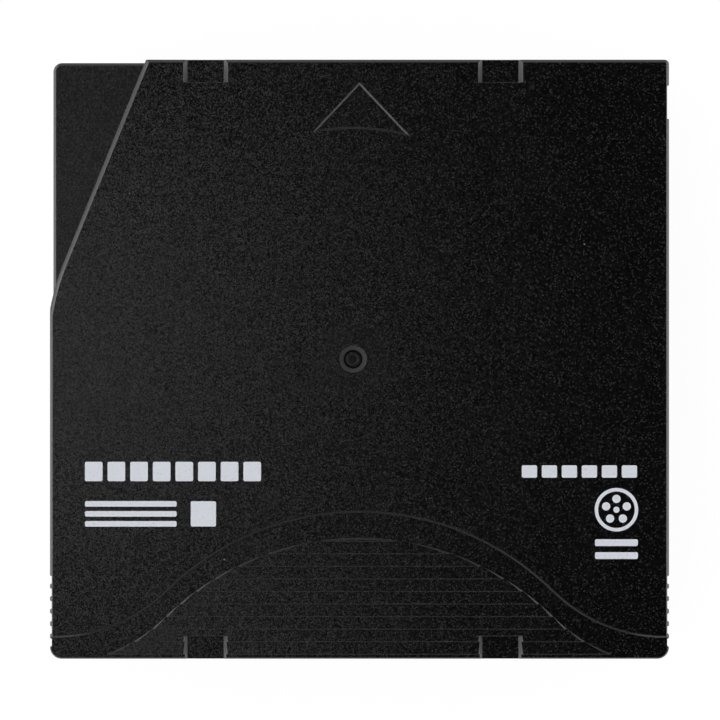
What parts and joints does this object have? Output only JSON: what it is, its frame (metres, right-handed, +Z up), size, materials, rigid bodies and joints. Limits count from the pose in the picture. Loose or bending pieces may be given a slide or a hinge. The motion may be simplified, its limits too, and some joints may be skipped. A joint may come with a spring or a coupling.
{
  "type": "data tape cartridge",
  "caption": "Flat square cartridge with a single reel of half-inch data tape, a sliding side door, a ribbed finger grip and a write-protect tab.",
  "frame": {"origin": "middle of the underside of the case, at the resting surface", "axes": "+Z up out of the top plate, +Y to the leading edge that goes into the drive first, +X to the side with the door"},
  "size_m": [0.1054, 0.102, 0.0215],
  "materials": {
    "shell_plastic": "fine textured black polycarbonate",
    "door_plastic": "smooth black moulding",
    "screw_steel": "black zinc plate",
    "spring_steel": "drawn spring wire",
    "hub_plastic": "natural white moulding",
    "flange_plastic": "natural white moulding",
    "plate_steel": "stamped steel",
    "tape": "wound coated film",
    "pad_plastic": "white moulding",
    "brake_plastic": "grey moulding",
    "pin_steel": "turned stainless steel",
    "clip_plastic": "moulded clip",
    "tab_plastic": "red moulding",
    "board_laminate": "solder mask",
    "board_copper": "printed copper",
    "chip_resin": "moulded resin"
  },
  "bodies": {
    "case": {"upper_shell": "shell_plastic", "lower_shell": "shell_plastic", "case_screws": "screw_steel", "door_spring": "spring_steel", "brake_spring": "spring_steel", "leader_pin": "pin_steel", "tape_leader": "tape", "leader_pin_clip": "clip_plastic", "pin_retainer_spring": "spring_steel", "memory_board": "board_laminate", "memory_antenna": "board_copper", "memory_chip": "chip_resin"},
    "reel": {"reel_hub": "hub_plastic", "reel_upper_flange": "flange_plastic", "reel_plate": "plate_steel", "tape_pack": "tape"},
    "release_pad": {"release_pad": "pad_plastic"},
    "brake": {"brake_button": "brake_plastic"},
    "door": {"access_door": "door_plastic"},
    "protect_tab": {"write_protect_tab": "tab_plastic"}
  },
  "joints": [
    {"name": "reel_spin", "type": "hinge", "parent": "case", "child": "reel", "pos_m": [-0.0011, 0, 0], "axis": [0, 0, 1], "continuous": true},
    {"name": "brake_lift", "type": "slide", "parent": "case", "child": "brake", "axis": [0, 0, 1], "range_m": [0, 0.0018], "stiffness_N_per_m": 400, "springref_m": -0.01, "deforming": ["brake_spring"]},
    {"name": "pad_lift", "type": "slide", "parent": "reel", "child": "release_pad", "axis": [0, 0, 1], "range_m": [0, 0.0018]},
    {"name": "door_slide", "type": "slide", "parent": "case", "child": "door", "axis": [0, -1, 0], "range_m": [0, 0.02], "stiffness_N_per_m": 40, "springref_m": -0.025, "deforming": ["door_spring"]},
    {"name": "tab_slide", "type": "slide", "parent": "case", "child": "protect_tab", "axis": [1, 0, 0], "range_m": [0, 0.006]}
  ],
  "couplings": [
    {"joint": "pad_lift", "follows": "brake_lift", "ratio": 1}
  ]
}
